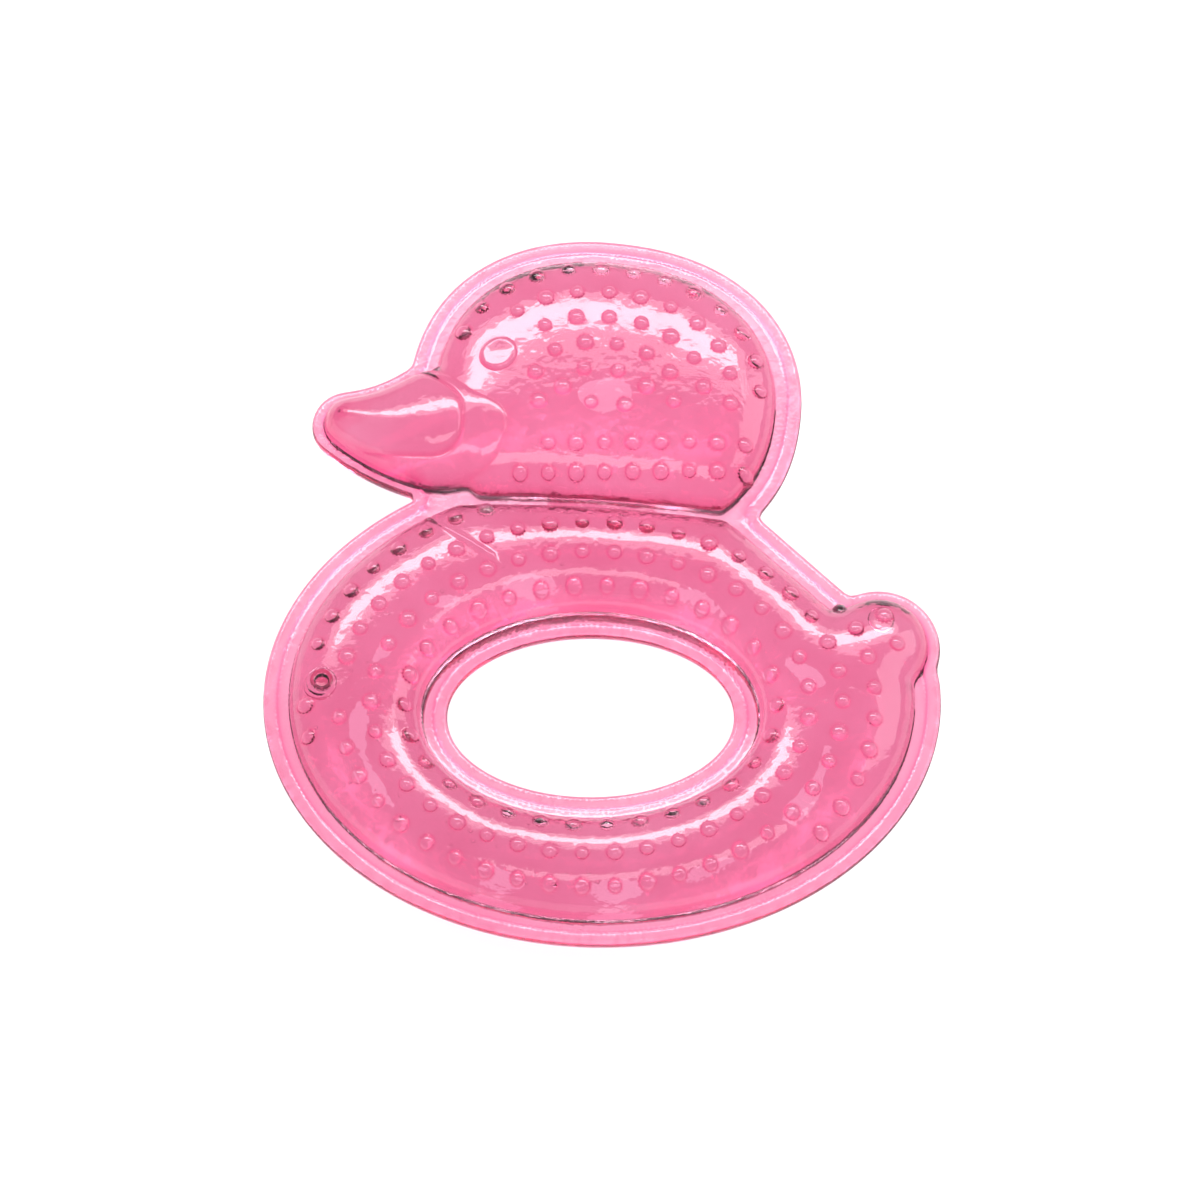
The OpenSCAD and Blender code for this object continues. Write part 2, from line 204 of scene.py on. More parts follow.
def depth(points, loop):
    """How far inside a closed curve each point lies, negative outside: the distance to the nearer
    of the two straight pieces at the nearest corner, with the sign of the side it lies on. Where
    the corner itself is nearest, the piece seen more broadside gives the sign."""
    found = np.empty(len(points))
    for part in np.array_split(np.arange(len(points)), len(points) // 8000 + 1):
        p = points[part]
        k = ((loop**2).sum(1) - 2 * p @ loop.T).argmin(1)
        best = np.full(len(part), np.inf)
        broad = np.zeros(len(part))
        for a, b in ((k - 1, k), (k, (k + 1) % len(loop))):
            piece = loop[b] - loop[a]
            off = p - loop[a]
            share = np.clip((off * piece).sum(1) / (piece**2).sum(1), 0, 1)
            side = (piece[:, 0] * off[:, 1] - piece[:, 1] * off[:, 0]) / np.hypot(*piece.T)
            reach = np.hypot(*(off - share[:, None] * piece).T)
            better = (reach < best - 1e-9) | ((reach < best + 1e-9) & (np.abs(side) > np.abs(broad)))
            found[part] = np.where(better, np.copysign(reach, side), found[part])
            broad = np.where(better, side, broad)
            best = np.minimum(best, reach)
    return found


def nearest(points, others):
    """Distance from each point to the nearest of the others."""
    least = np.empty(len(points))
    for part in np.array_split(np.arange(len(points)), len(points) // 4000 + 1):
        p = points[part]
        least[part] = (p**2).sum(1) + ((others**2).sum(1) - 2 * p @ others.T).min(1)
    return np.sqrt(np.maximum(least, 0))


def room(points, loop):
    """Soft distance to a closed curve, which has no ridge in the middle: the sixth power of the
    nearness is added up along the curve and turned back into a distance. It goes over into the
    plain distance next to the curve."""
    step = np.hypot(*(loop - np.roll(loop, 1, 0)).T).mean()
    plain = np.abs(depth(points, loop))
    soft = np.empty(len(points))
    for part in np.array_split(np.arange(len(points)), len(points) // 4000 + 1):
        p = points[part]
        near = (p**2).sum(1)[:, None] + (loop**2).sum(1) - 2 * p @ loop.T + 1e-4
        soft[part] = (1 / (near * near * near)).sum(1) * step
    soft = (soft / 1.178) ** -0.2
    share = np.clip((plain - 0.8) / 2.4, 0, 1)
    share = share * share * (3 - 2 * share)
    return plain + (soft - plain) * share


def arch(share, power):
    """Cross-section of something blown up: a superellipse, upright at its foot, level at 1."""
    return (1 - (1 - np.clip(share, 0, 1)) ** power) ** (1 / power)


def over(points, inside, height):
    """Heights worked out only for the points inside, 0 for the others."""
    z = np.zeros(len(points))
    if inside.any():
        z[inside] = height(points[inside])
    return z


def ring_cushion(points, outer, inner, tall):
    """Cushion between two feet: arch over the share of the way from the nearer foot."""

    def height(p):
        inward, outward = room(p, inner), room(p, outer)
        share = inward / (inward + outward)
        return tall * arch(1 - np.abs(1 - 2 * share), CUSHION_POWER)

    return over(points, (depth(points, outer) > 0) & (depth(points, inner) < 0), height)


def head_cushion(points, foot, deepest, tall):
    """Cushion over a whole outline: arch over the soft distance from its foot."""

    def height(p):
        return tall * arch(room(p, foot) / deepest, HEAD_DOME_POWER)

    return over(points, depth(points, foot) > 0, height)


def head_deep(foot):
    """Soft distance at which the head's cushion would be level, a little more than it reaches
    anywhere, so that the head stays slightly domed right over its middle."""
    return 1.12 * room(HEAD_AT[None] + [[-1.5, 0.5]], foot)[0]


def spline_loop(corners, step):
    return even_loop(np.array(corners)[::-1], step, 0.9)


BASE_LOOP = spline_loop(BILL_BASE, 0.4)
TOP_LOOP = spline_loop(BILL_TOP, 0.4)
HEAD_DEEP = head_deep(HEAD_FOOT)


def plain_height(points):
    """The skin both halves share: a rim with a rounded edge and a step inside it, a small fillet
    at the feet, the cushions, and a slow waviness left by the moulding."""
    edge = np.minimum(depth(points, OUTLINE), -depth(points, HOLE))
    z = RIM_T * arch(edge / RIM_EDGE, 2.3) - RIM_STEP * np.exp(-(((edge - RIM_STEP_AT) / 0.3) ** 2))
    foot = np.minimum.reduce([-depth(points, BODY_FOOT), depth(points, HOLE_FOOT), -depth(points, HEAD_FOOT)])
    foot = np.where(depth(points, HOLE_FOOT) > 0, depth(points, HOLE_FOOT), foot)
    z += FILLET * np.exp(-np.abs(foot) / 0.45) * (edge > 0)
    z += ring_cushion(points, BODY_FOOT, HOLE_FOOT, CUSHION_H)
    z += head_cushion(points, HEAD_FOOT, HEAD_DEEP, CUSHION_H)
    x, y = points.T
    wave = np.sin(x / 2.1 + 1.3 * np.sin(y / 3.7)) + np.sin(y / 1.7 + 1.1 * np.sin(x / 4.3) + 1)
    wave = wave + np.sin((x - y) / 3.1)
    return z + WAVE_H * wave * np.clip(edge / 2, 0, 1)


def smooth_height(points):
    """The front skin without nubs: the plain one with bill, eye and the wrinkle at the chest."""
    z = plain_height(points)
    z += over(points, np.hypot(*(points - BILL_ROOT - [-6, 0]).T) < 25, bill_height)
    z += over(points, np.hypot(*(points - EYE_AT).T) < 4, eye_height)
    z += over(points, nearest(points, CREASE) < 7, crease_height)
    return z


def bill_height(points):
    """Bill over the head's cushion: a low step over its base, a second one for its upper half,
    and a fine groove along the mouth and the back of the upper half; all fade out at the rim."""
    base_in, top_in = depth(points, BASE_LOOP), depth(points, TOP_LOOP)
    fade = arch(depth(points, HEAD_FOOT) / 2.2, 2)
    base = 0.45 * arch(np.where(base_in > 0, room(points, BASE_LOOP), 0) / 4.5, 2.2)
    upper = 0.7 * arch(top_in / 4.5, 2.2)
    groove = 0.3 * np.exp(-((top_in / 0.3) ** 2)) * (base_in > 0)
    return fade * (base + upper - groove)


def eye_height(points):
    """Leaning oval button: steep side, rounded shoulder and a slightly hollow top."""
    off = points - EYE_AT
    c, s = np.cos(EYE_LEAN), np.sin(EYE_LEAN)
    along, across = off[:, 0] * c + off[:, 1] * s, off[:, 1] * c - off[:, 0] * s
    r = np.hypot(along / EYE_RADII[0], across / EYE_RADII[1])
    return 0.75 * arch((1 - r) / 0.3, 2.2) * (r < 1) - 0.15 * np.exp(-((r / 0.55) ** 2))


def crease_height(points):
    """Wrinkle: a narrow ridge along a line, lower towards its ends, faded out at the rim."""
    ends = np.minimum(*(np.hypot(*(points - CREASE[k]).T) for k in (0, -1)))
    fine = np.stack([np.interp(np.linspace(0, 4, 161), np.arange(5), CREASE[:, k]) for k in (0, 1)], 1)
    fade = np.clip(ends / 2.5, 0, 1) * np.clip(depth(points, BODY_FOOT), 0, 1)
    return 0.3 * fade * np.exp(-((nearest(points, fine) / 0.4) ** 2))


NUB_R = 1.15
NUB_H = 0.8
NUB_PITCH = 4.85
HEAD_PITCH = 4.2
ROW_FIRST = 2.4
EDGE_ROOM = 1.9


def spaced(points, pitch, start):
    """Places at even steps of about pitch along a closed curve, the first one start steps on."""
    loop = np.vstack([points, points[:1]])
    run = np.append(0, np.cumsum(np.hypot(*np.diff(loop, axis=0).T)))
    count = int(np.floor(run[-1] / pitch + 0.5))
    at = (np.arange(count) + start) * run[-1] / count
    return np.stack([np.interp(at, run, loop[:, 0]), np.interp(at, run, loop[:, 1])], 1)


def nub_places():
    """Rows that follow the hand hole over the body, arcs that follow the head's outline over the
    head, and two straight rows above the neck; places too near a foot, eye, bill or plug stay bare."""
    turn = np.radians(np.arange(0, 360, 6))
    found = []
    for row in range(7):
        out = HOLE_RADII + RIM + ROW_FIRST + row * NUB_PITCH
        p = spaced(HOLE_AT + out * np.stack([np.cos(turn), np.sin(turn)], 1), NUB_PITCH, row % 2 / 2)
        off = p - HOLE_AT
        room_left = body_reach(np.arctan2(off[:, 1], off[:, 0]), RIM, WELD / 2) - np.hypot(*off.T)
        found.append(p[(room_left > EDGE_ROOM) & (np.hypot(*(p - PLUG_AT).T) > 2.95)])
    for row in range(5):
        reach = dome_reach(turn, RIM + ROW_FIRST + row * HEAD_PITCH)
        p = spaced(polar(HEAD_AT, reach, turn), NUB_PITCH, row % 2 / 2)
        found.append(p[(p[:, 1] > 25.3) & clear_of_face(p)])
    across, up = np.meshgrid(HEAD_AT[0] + (np.arange(-3, 7) - 1) * HEAD_PITCH, [16.9, 16.9 + HEAD_PITCH])
    p = np.stack([across.ravel(), up.ravel()], 1)
    found.append(p[clear_of_face(p) & (depth(p, HEAD_FOOT) > 0)])
    return np.vstack(found)


def clear_of_face(points):
    return (np.hypot(*(points - EYE_AT).T) > 5.25) & (np.hypot(*(points - BILL_ROOT).T) > 12.8)


# Strengths of the painted shade and darker tint: the welded rim a darker pink of its own; painted shade along
# the line pressed into the rim, at the feet of the cushions (there with a darker pink where both walls run up
# steeply), round each nub, the eye, the mouth and the base of the bill; and a painted lighter middle on each
# nub.
DEEP_RIM, PAINTED_LINE_SHADE, PAINTED_FOOT_SHADE_AND_TINT = 0.3, 0.45, 0.5
PAINTED_NUB_SHADE, PAINTED_NUB_LIGHT, PAINTED_EYE_SHADE = 0.75, 0.1, 0.7
PAINTED_MOUTH_SHADE, PAINTED_BILL_BASE_SHADE = 0.6, 0.3


def plain_painted_shade_and_tint(points):
    """Painted shade and darker tint, 0 to 1: the welded rim a darker pink of its own, painted shade
    along the line pressed into it, and at the feet of the cushions painted shade together with a
    darker pink where both walls run up steeply."""
    edge = np.minimum(depth(points, OUTLINE), -depth(points, HOLE))
    foot = np.minimum.reduce([np.abs(depth(points, loop)) for loop in (BODY_FOOT, HOLE_FOOT, HEAD_FOOT)])
    line = np.exp(-(((edge - RIM_STEP_AT) / 0.35) ** 2))
    at_foot = np.exp(-((foot / 0.5) ** 2))
    return np.clip(DEEP_RIM * (edge < RIM - 0.6) + PAINTED_LINE_SHADE * line + PAINTED_FOOT_SHADE_AND_TINT * at_foot, 0, 1)


def front_painted_shade_and_tint(points):
    """The same for the front, which also has painted shade round the foot of every nub with a painted
    lighter middle, and painted shade round the eye and along the mouth and the base of the bill."""
    away = np.full(len(points), 9.0)
    for part in np.array_split(np.arange(len(points)), len(points) // 20000 + 1):
        apart = np.hypot(points[part, 0, None] - NUBS[:, 0], points[part, 1, None] - NUBS[:, 1])
        away[part] = (apart / (NUB_R * NUB_SIZES)).min(1)
    # Painted shade round the foot of each nub, and a painted lighter middle inside it.
    nub = PAINTED_NUB_SHADE * np.exp(-(((away - 0.97) / 0.16) ** 2)) - PAINTED_NUB_LIGHT * (away < 0.8)
    eye = PAINTED_EYE_SHADE * np.exp(-(((np.hypot(*(points - EYE_AT).T) / EYE_RADII.mean() - 1) / 0.09) ** 2))
    base_in, top_in = np.abs(depth(points, BASE_LOOP)), np.abs(depth(points, TOP_LOOP))
    lines = PAINTED_MOUTH_SHADE * np.exp(-((top_in / 0.4) ** 2)) + PAINTED_BILL_BASE_SHADE * np.exp(-((base_in / 0.5) ** 2))
    lines = lines * (depth(points, HEAD_FOOT) > 0.6)
    return np.clip(plain_painted_shade_and_tint(points) + nub + eye + lines, 0, 1)


def slope(points, height):
    """Upright directions of a surface given by a height: from differences of 0.03 mm."""
    step = 0.03
    dx = height(points + [step, 0]) - height(points - [step, 0])
    dy = height(points + [0, step]) - height(points - [0, step])
    up = np.stack([-dx, -dy, np.full(len(points), 2 * step)], 1)
    return up / np.linalg.norm(up, axis=1)[:, None]


NUBS = nub_places()
NUB_SIZES = 1 + 0.1 * np.sin(np.arange(len(NUBS)) * 2.4)
NUB_UP = slope(NUBS, smooth_height)


def skin(points):
    """Points of the moulded skin: the smooth height, and each nub pushed out along the smooth
    skin's own upright direction by half an ellipse over the distance from its middle."""
    lift = np.zeros((len(points), 3))
    for part in np.array_split(np.arange(len(points)), len(points) // 20000 + 1):
        away = np.hypot(points[part, 0, None] - NUBS[:, 0], points[part, 1, None] - NUBS[:, 1])
        nub = away.argmin(1)
        share = away[np.arange(len(part)), nub] / (NUB_R * NUB_SIZES[nub])
        lift[part] = NUB_UP[nub] * (NUB_H * np.sqrt(np.clip(1 - share**2, 0, 1)) ** 1.2)[:, None]
    return lift + np.column_stack([points, smooth_height(points)])


# ---------------------------------------------------------------------------
# The two half shells of soft clear pink vinyl, welded flat round the rim. The
# wall follows the cushions at an even thickness, so the space for the water is
# the same cushions over smaller feet, with a thin passage through the neck weld.
# ---------------------------------------------------------------------------
WALL = 1.2
DUCT_HALF = 8.0
DUCT_T = 0.4


def hollow_feet(inset, step):
    """Feet of the space inside: outer and inner foot of the ring, and the foot of the head."""
    body = even_loop(polar(HOLE_AT, body_reach(TURN, RIM + inset, WELD / 2 + inset), TURN), step, 0.8)
    head = even_loop(polar(HEAD_AT, head_reach(TURN, RIM + inset, WELD / 2 + inset), TURN), step, 0.7)
    return body, hole_loop(RIM + inset, step), head


def hollow_height(points, feet, inset):
    """Height of the space inside one half: both cushions moved in by the wall, and the passage."""
    body, hole, head = feet
    tall = CUSHION_H + RIM_T - inset
    z = ring_cushion(points, body, hole, tall) + head_cushion(points, head, head_deep(head), tall)
    across = np.abs(points[:, 0]) / (DUCT_HALF + WALL - inset)
    by_neck = np.abs(np.hypot(*(points - NECK_AT).T) - NECK_RADIUS) < WELD / 2 + 1.5 * WALL
    return np.where(by_neck, np.maximum(z, (DUCT_T + WALL - inset) * arch(1 - across, 2)), z)


def sheet(points, loops):
    """Triangles over the plan: Delaunay between all points, with the loops kept as edges."""
    edges, start = [], 0
    for loop in loops:
        ring = start + np.arange(len(loop))
        edges.append(np.stack([ring, np.roll(ring, -1)], 1))
        start += len(loop)
    every = np.vstack(list(loops) + [points])
    found, _, triangles, _, _, _ = delaunay_2d_cdt(
        [Vector(p) for p in every.tolist()], np.vstack(edges).tolist(), [], 0, 1e-6
    )
    if len(found) != len(every):
        raise ValueError(f"the plan has points that meet: {len(every)} became {len(found)}")
    triangles = np.array(triangles)
    middle = every[triangles].mean(1)
    return every, triangles[(depth(middle, OUTLINE) > 0) & (depth(middle, HOLE) < 0)]


def side_rows(loop, offsets):
    """Copies of a closed curve moved sideways, to its left for positive offsets, without the
    places where such a copy would run back over itself in a tight bend."""
    along = np.roll(loop, -1, 0) - np.roll(loop, 1, 0)
    left = np.stack([-along[:, 1], along[:, 0]], 1) / np.hypot(*along.T)[:, None]
    found = []
    for k, offset in enumerate(offsets):
        row = loop + (np.roll(loop, -1, 0) - loop) * (k % 2 / 2) + left * offset
        found.append(row[np.abs(depth(row, loop)) > 0.95 * abs(offset)])
    return np.vstack(found)


def thin_out(points, gap):
    """Points in cells of the given width, one kept in each cell."""
    _, first = np.unique(np.floor(points / gap).astype(int), axis=0, return_index=True)
    return points[np.sort(first)]


def hex_grid(pitch):
    across = np.arange(-51, 51, pitch)
    up = np.arange(-57, 57, pitch * 0.866)
    x, y = np.meshgrid(across, up)
    x[1::2] += pitch / 2
    return np.stack([x.ravel(), y.ravel()], 1)


SKIN_LOOPS = (OUTLINE, HOLE, BODY_FOOT, HEAD_FOOT, HOLE_FOOT)


def on_toy(points, loops):
    """The points that lie on the toy's plan and not on one of the loops."""
    clear = np.minimum.reduce([np.abs(depth(points, loop)) for loop in loops])
    return points[(clear > 0.02) & (depth(points, OUTLINE) > 0) & (depth(points, HOLE) < 0)]


def plain_plan():
    """Where both skins get their points: close rows along every edge and foot."""
    edge_rows = [0.05, 0.15, 0.3, 0.5, 0.75, 1.1, 1.45, 1.7, 1.9, 2.1, 2.3, 2.5, 2.8]
    foot_rows = [0.04, 0.1, 0.2, 0.35, 0.55, 0.85, 1.25, 1.8, 2.5]
    rows = [side_rows(OUTLINE, edge_rows), side_rows(HOLE, [-r for r in edge_rows])]
    for loop, inward in ((BODY_FOOT, 1), (HEAD_FOOT, 1), (HOLE_FOOT, -1)):
        rows.append(side_rows(loop, [inward * r for r in [-0.75, -0.5, -0.3, -0.15, -0.06] + foot_rows]))
    return np.vstack(rows)


def filled_in(rest):
    """Rows thinned where they crowd, with an even grid between them."""
    rest = thin_out(rest, 0.1)
    grid = hex_grid(1.15)
    return np.vstack([rest, grid[nearest(grid, rest) > 0.45]])


def skin_plan():
    """Points of the front skin: the plain rows, rings on every nub and on the eye, rows along
    the bill's lines and the wrinkle, and an even grid between them."""
    line_rows = [-1.4, -1.0, -0.7, -0.5, -0.35, -0.2, -0.1, 0.001, 0.1, 0.2, 0.35, 0.5, 0.7, 1.0, 1.4]
    base_rows = [-0.5, -0.2, 0.001, 0.1, 0.25, 0.45, 0.8]
    face = np.vstack([side_rows(TOP_LOOP, line_rows), side_rows(BASE_LOOP, base_rows)])
    fold = np.stack([np.interp(np.linspace(0, 4, 46), np.arange(5), CREASE[:, k]) for k in (0, 1)], 1)
    fold = np.vstack([fold + [0.55 * w, 0.83 * w] for w in (-1, -0.7, -0.45, -0.22, 0, 0.22, 0.45, 0.7, 1)])
    turn = np.linspace(0, 2 * np.pi, 14, endpoint=False)
    circle = np.stack([np.cos(turn), np.sin(turn)], 1)
    rings = [(1.3, 0), (1.06, 0.5), (1.0, 0), (0.95, 0.5), (0.84, 0), (0.66, 0.5), (0.42, 0)]
    nubs = [NUBS]
    for share, start in rings:
        spin = start * turn[1]
        turned = circle @ np.array([[np.cos(spin), np.sin(spin)], [-np.sin(spin), np.cos(spin)]])
        nubs.append((NUBS[:, None] + (share * NUB_R * NUB_SIZES)[:, None, None] * turned).reshape(-1, 2))
    turn = np.linspace(0, 2 * np.pi, 48, endpoint=False)
    oval = np.stack([EYE_RADII[0] * np.cos(turn), EYE_RADII[1] * np.sin(turn)], 1)
    lean = np.array([[np.cos(EYE_LEAN), np.sin(EYE_LEAN)], [-np.sin(EYE_LEAN), np.cos(EYE_LEAN)]])
    shares = (0.15, 0.3, 0.45, 0.6, 0.68, 0.75, 0.82, 0.88, 0.93, 0.97, 0.99, 1.0, 1.02, 1.1, 1.25)
    eye = np.vstack([EYE_AT + s * oval @ lean for s in shares])
    rest = filled_in(np.vstack([plain_plan(), face[depth(face, HEAD_FOOT) > 0], fold]))
    beside = np.hypot(rest[:, 0, None] - NUBS[:, 0], rest[:, 1, None] - NUBS[:, 1]) / (NUB_R * NUB_SIZES)
    off = (rest - EYE_AT) @ lean.T / EYE_RADII
    rest = rest[(beside.min(1) > 1.45) & (np.hypot(*off.T) > 1.35)]
    every = np.vstack([rest, eye] + nubs)
    return thin_out(on_toy(every, SKIN_LOOPS), 0.02)


def inside_plan(inset):
    """Points for the underside of a half shell or for one side of the water: close rows at the
    feet of the space, rows over the passage at the neck, rings at the plug's boss, a coarse grid."""
    feet = hollow_feet(inset, 0.9)
    rows = []
    for loop, inward in zip(feet, (1, -1, 1)):
        rows.append(side_rows(loop, [inward * r for r in (0.06, 0.15, 0.3, 0.55, 0.95, 1.6, 2.6)]))
    across, out = np.meshgrid(np.linspace(-8.2, 8.2, 35), np.linspace(-2.6, 2.6, 9))
    turn = np.pi / 2 - (across.ravel() - NECK_AT[0]) / NECK_RADIUS
    rows.append(polar(NECK_AT, NECK_RADIUS + out.ravel(), turn))
    turn = np.linspace(0, 2 * np.pi, 24, endpoint=False)
    ring = np.stack([np.cos(turn), np.sin(turn)], 1)
    boss = np.vstack([PLUG_AT + r * ring for r in (1.2, 2.1, 2.27, 2.31, 2.45, 2.8)])
    rest = thin_out(np.vstack(rows), 0.12)
    grid = hex_grid(1.9)
    rest = np.vstack([rest, grid[nearest(grid, rest) > 0.6]])
    rest = np.vstack([rest[np.hypot(*(rest - PLUG_AT).T) > 3.1], boss])
    return on_toy(rest, feet + (OUTLINE, HOLE)), feet


PLUG_R = 1.2
PLUG_L = 2.6
PLUG_HEAD_R = 1.7
PLUG_PLAY = -0.02
BOSS_WALL = 0.6
BOSS_R = 2.3
SEAT = smooth_height(PLUG_AT[None])[0]


def plug_rings(points):
    """The skin's points with those near the plug traded for rings on its hole, seat and boss."""
    turn = np.linspace(0, 2 * np.pi, 36, endpoint=False)
    ring = np.stack([np.cos(turn), np.sin(turn)], 1)
    hole = PLUG_R + PLUG_PLAY
    seat = PLUG_HEAD_R + PLUG_PLAY
    radii = (0.5, 1.0, hole - 0.02, hole, 1.5, seat - 0.02, seat, seat + 0.1, 2.0, 2.2, 2.3, 2.38, 2.5, 2.8)
    return np.vstack([points[np.hypot(*(points - PLUG_AT).T) > 3.1]] + [PLUG_AT + r * ring for r in radii])


def plug_seat(points, placed):
    """Skin with the filling hole: a low boss, a flat seat sunk into it and the narrow hole the length of the
    pin.
    """
    r = np.hypot(*(points - PLUG_AT).T)
    rise = np.maximum(placed[:, 2], SEAT + 0.25 * arch((BOSS_R - r) / 0.3, 2))
    z = np.where(r < BOSS_R, rise, placed[:, 2])
    z = np.where(r < PLUG_HEAD_R + PLUG_PLAY - 0.01, SEAT - PLUG_PLAY, z)
    z = np.where(r < PLUG_R + PLUG_PLAY - 0.01, SEAT - PLUG_L - PLUG_PLAY, z)
    return np.column_stack([placed[:, :2], z])


def facing(places):
    """Outward directions of a surface from three copies of it: at its points, and with the points
    moved a little to the right and a little up the plan."""
    out = np.cross(places[1] - places[0], places[2] - places[0])
    return out / np.linalg.norm(out, axis=1)[:, None]


UNDER, FEET = inside_plan(WALL)
UNDER, UNDER_FACES = sheet(UNDER, (OUTLINE, HOLE) + FEET)
OVERLAP = 0.02


def wall_height(points):
    return hollow_height(points, FEET, WALL)


def boss_wall_height(points):
    """Inside of the front half, with the boss of the plug standing down into the water."""
    z = wall_height(points)
    return np.where(np.hypot(*(points - PLUG_AT).T) < BOSS_R, np.minimum(z, SEAT - PLUG_L - BOSS_WALL), z)


def half_shell(plan, surface, under_height, painted_shade_and_tint):
    """One moulded half over the seam plane: skin above, and below it the flat weld and the wall
    round the water; both sheets share the points of the outline and the hand hole."""
    plan, skin_faces = sheet(plan, SKIN_LOOPS)
    # The skin's painted shade and darker tint per point; the wall and weld below get none.
    pink = np.append(painted_shade_and_tint(plan), np.zeros(len(UNDER)))
    placed = [surface(p) for p in (plan, plan + [0.01, 0], plan + [0, 0.01])]
    shared = len(OUTLINE) + len(HOLE)
    hollow = under_height(UNDER[UNDER_FACES].mean(1)) > 0
    places = np.vstack([placed[0], np.column_stack([UNDER, under_height(UNDER) - OVERLAP])[shared:]])
    places[:shared, 2] = 0
    below = np.where(UNDER_FACES < shared, UNDER_FACES, UNDER_FACES + len(plan) - shared)[:, ::-1]
    kind = np.concatenate([np.zeros(len(skin_faces), int), np.where(hollow, 1, 2)])
    inner_up = -slope(UNDER, under_height)[UNDER_FACES[:, ::-1]]
    inner_up[~hollow] = [0, 0, -1]
    corner_up = np.vstack([facing(placed)[skin_faces], inner_up])
    return places, np.vstack([skin_faces, below]), kind, corner_up, pink[: len(places)]


def make_mesh(name, places, faces, kind, corner_up, painted_shade_and_tint, materials):
    """Mesh object from triangles, in millimetres over the seam, with its own shading directions."""
    mesh = bpy.data.meshes.new(name)
    mesh.vertices.add(len(places))
    mesh.vertices.foreach_set("co", (places * MM + [0, 0, SEAM]).ravel())
    mesh.loops.add(faces.size)
    mesh.loops.foreach_set("vertex_index", faces.ravel())
    mesh.polygons.add(len(faces))
    mesh.polygons.foreach_set("loop_start", np.arange(len(faces)) * 3)
    mesh.polygons.foreach_set("material_index", kind)
    mesh.update(calc_edges=True)
    mesh.validate()
    mesh.polygons.foreach_set("use_smooth", np.ones(len(mesh.polygons), bool))
    mesh.normals_split_custom_set(corner_up.reshape(-1, 3).tolist())
    # Painted shade and darker tint per point, which the vinyl mixes into its colour.
    mesh.attributes.new("painted_shade_and_tint", "FLOAT", "POINT").data.foreach_set("value", painted_shade_and_tint)
    for material in materials:
        mesh.materials.append(material)
    thing = bpy.data.objects.new(name, mesh)
    bpy.context.scene.collection.objects.link(thing)
    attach(thing, "root")
    return thing


def turned_over(places, faces, kind, corner_up, painted_shade_and_tint):
    """The same half moulded for the back: mirrored in the seam plane, faces wound the other way."""
    flip = np.array([1, 1, -1])
    return places * flip, faces[:, ::-1], kind, (corner_up * flip)[:, ::-1], painted_shade_and_tint


class Shade:
    """A shader socket, from which further nodes of the same material are added."""

    def __init__(self, tree, socket=None):
        self.tree, self.socket = tree, socket

    def node(self, kind, settings=None, sockets=None, output=0):
        """Adds a node: its type, then its settings, then values or links for its sockets."""
        made = self.tree.nodes.new(kind)
        for key, value in (settings or {}).items():
            setattr(made, key, value)
        for key, value in (sockets or {}).items():
            if isinstance(value, Shade):
                self.tree.links.new(value.socket, made.inputs[key])
            else:
                made.inputs[key].default_value = value
        return Shade(self.tree, made.outputs[output]) if made.outputs else Shade(self.tree)


# Darker pink for the painted shade and for thicker vinyl, mixed in by the mesh's attribute.
PAINTED_SHADE_AND_THICK_TINT = (0.86, 0.09, 0.28)


def clear_vinyl(name, tint, index, rough, shadow, mottle, grain):
    """See-through moulding: glass of the given index, its tint a little uneven, its surface a
    little wavy, and a clear tinted stand-in for lamp light so that the table under it stays lit."""
    material = bpy.data.materials.new(name)
    material.use_nodes = True
    tree = material.node_tree
    tree.nodes.clear()
    start = Shade(tree)
    place = start.node("ShaderNodeTexCoord", output="Object")
    cloud = start.node("ShaderNodeTexNoise", None, {"Vector": place, "Scale": mottle[0], "Detail": 3.0})
    tints = {0: cloud, 6: (*tint[0], 1), 7: (*tint[1], 1)}
    colour = start.node("ShaderNodeMix", {"data_type": "RGBA"}, tints, 2)
    # Painted shade and darker tint: the mesh's attribute mixes the darker pink into the colour.
    painted_shade_and_tint = start.node("ShaderNodeAttribute", {"attribute_name": "painted_shade_and_tint"}, output="Fac")
    colour = start.node("ShaderNodeMix", {"data_type": "RGBA"}, {0: painted_shade_and_tint, 6: colour, 7: (*PAINTED_SHADE_AND_THICK_TINT, 1)}, 2)
    sockets = {"Base Color": colour, "IOR": index, "Roughness": rough, "Transmission Weight": 1.0}
    if grain:
        wave = start.node("ShaderNodeTexNoise", None, {"Vector": place, "Scale": grain[0], "Detail": 2.0})
        bump = {"Height": wave, "Strength": grain[1], "Distance": grain[2]}
        sockets["Normal"] = start.node("ShaderNodeBump", None, bump)
    glass = start.node("ShaderNodeBsdfPrincipled", None, sockets)
    clear = start.node("ShaderNodeBsdfTransparent", None, {"Color": (*shadow, 1)})
    glow = start.node("ShaderNodeLightPath", output="Is Diffuse Ray")
    either = start.node("ShaderNodeMixShader", None, {0: glow, 1: glass, 2: clear})
    lamp = start.node("ShaderNodeLightPath", output="Is Shadow Ray")
    both = start.node("ShaderNodeMixShader", None, {0: lamp, 1: either, 2: clear})
    start.node("ShaderNodeOutputMaterial", None, {"Surface": both})
    return material


SKIN_TINT = ((0.78, 0.33, 0.47), (0.88, 0.56, 0.68))
skin_vinyl = clear_vinyl("skin_vinyl", SKIN_TINT, 1.5, 0.06, (0.99, 0.93, 0.96), (70, 0), (600, 0.25, 0.0003))
wall_vinyl = clear_vinyl("wall_vinyl", SKIN_TINT, 1.128, 0.03, (0.99, 0.93, 0.96), (90, 0), None)
weld_vinyl = clear_vinyl("weld_vinyl", ((1, 1, 1), (1, 0.98, 0.99)), 1.0, 0.0, (1, 1, 1), (90, 0), None)

